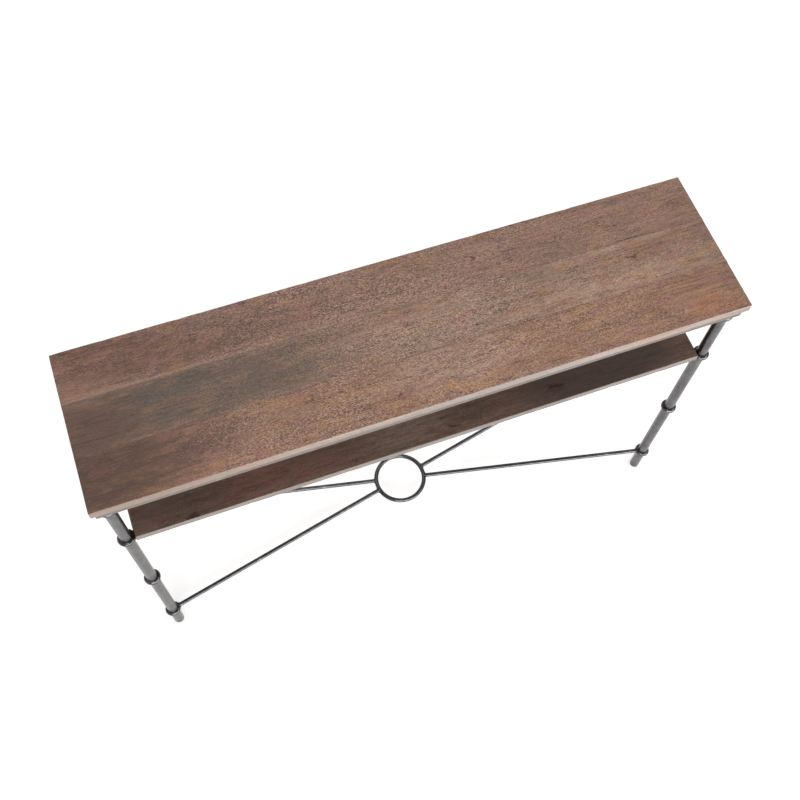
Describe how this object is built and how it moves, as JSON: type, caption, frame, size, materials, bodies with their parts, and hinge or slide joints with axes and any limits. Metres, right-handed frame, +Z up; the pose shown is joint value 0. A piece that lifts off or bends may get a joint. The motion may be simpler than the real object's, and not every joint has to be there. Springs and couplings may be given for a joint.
{
  "type": "console table",
  "caption": "Narrow console table with a plank top and shelf on round tube legs with ring collars, braced by crossed rods that meet a central ring.",
  "frame": {"origin": "centre of the footprint, on the floor", "axes": "+X along the length to the right, +Y from the front to the back, +Z up"},
  "size_m": [1.22, 0.308, 0.795],
  "materials": {
    "top_wood": "distressed dark brown timber, matt wax, rough sawn",
    "shelf_wood": "distressed dark brown timber, matt wax",
    "frame_steel": "satin taupe grey paint",
    "leg_steel": "satin mid grey, hand rubbed",
    "collar_steel": "gunmetal, semi gloss",
    "stretcher_steel": "gunmetal, semi gloss",
    "glide_plastic": "matt moulded plastic",
    "screw_steel": "black oxide"
  },
  "bodies": {
    "root": {"top_board_front": "top_wood", "top_board_middle": "top_wood", "top_board_back": "top_wood", "shelf_board_front": "shelf_wood", "shelf_board_middle": "shelf_wood", "shelf_board_back": "shelf_wood", "frame_rail_front": "frame_steel", "frame_rail_back": "frame_steel", "frame_rail_left": "frame_steel", "frame_rail_right": "frame_steel", "leg_plate_front_left": "frame_steel", "leg_plate_front_right": "frame_steel", "leg_plate_back_left": "frame_steel", "leg_plate_back_right": "frame_steel", "top_tab_front_left": "frame_steel", "top_tab_front_right": "frame_steel", "top_tab_back_left": "frame_steel", "top_tab_back_right": "frame_steel", "top_tab_left_end": "frame_steel", "top_tab_right_end": "frame_steel", "leg_front_left": "leg_steel", "leg_front_right": "leg_steel", "leg_back_left": "leg_steel", "leg_back_right": "leg_steel", "foot_glide_front_left": "glide_plastic", "foot_glide_front_right": "glide_plastic", "foot_glide_back_left": "glide_plastic", "foot_glide_back_right": "glide_plastic", "collar_top_front_left": "collar_steel", "collar_top_front_right": "collar_steel", "collar_top_back_left": "collar_steel", "collar_top_back_right": "collar_steel", "collar_shelf_front_left": "collar_steel", "collar_shelf_front_right": "collar_steel", "collar_shelf_back_left": "collar_steel", "collar_shelf_back_right": "collar_steel", "collar_middle_front_left": "collar_steel", "collar_middle_front_right": "collar_steel", "collar_middle_back_left": "collar_steel", "collar_middle_back_right": "collar_steel", "collar_lower_front_left": "collar_steel", "collar_lower_front_right": "collar_steel", "collar_lower_back_left": "collar_steel", "collar_lower_back_right": "collar_steel", "shelf_bearer_left": "frame_steel", "shelf_bearer_right": "frame_steel", "stretcher_ring": "stretcher_steel", "stretcher_rod_front_left": "stretcher_steel", "stretcher_rod_front_right": "stretcher_steel", "stretcher_rod_back_left": "stretcher_steel", "stretcher_rod_back_right": "stretcher_steel", "leg_plate_screws": "screw_steel", "top_tab_screws": "screw_steel", "shelf_screws": "screw_steel"}
  },
  "joints": []
}
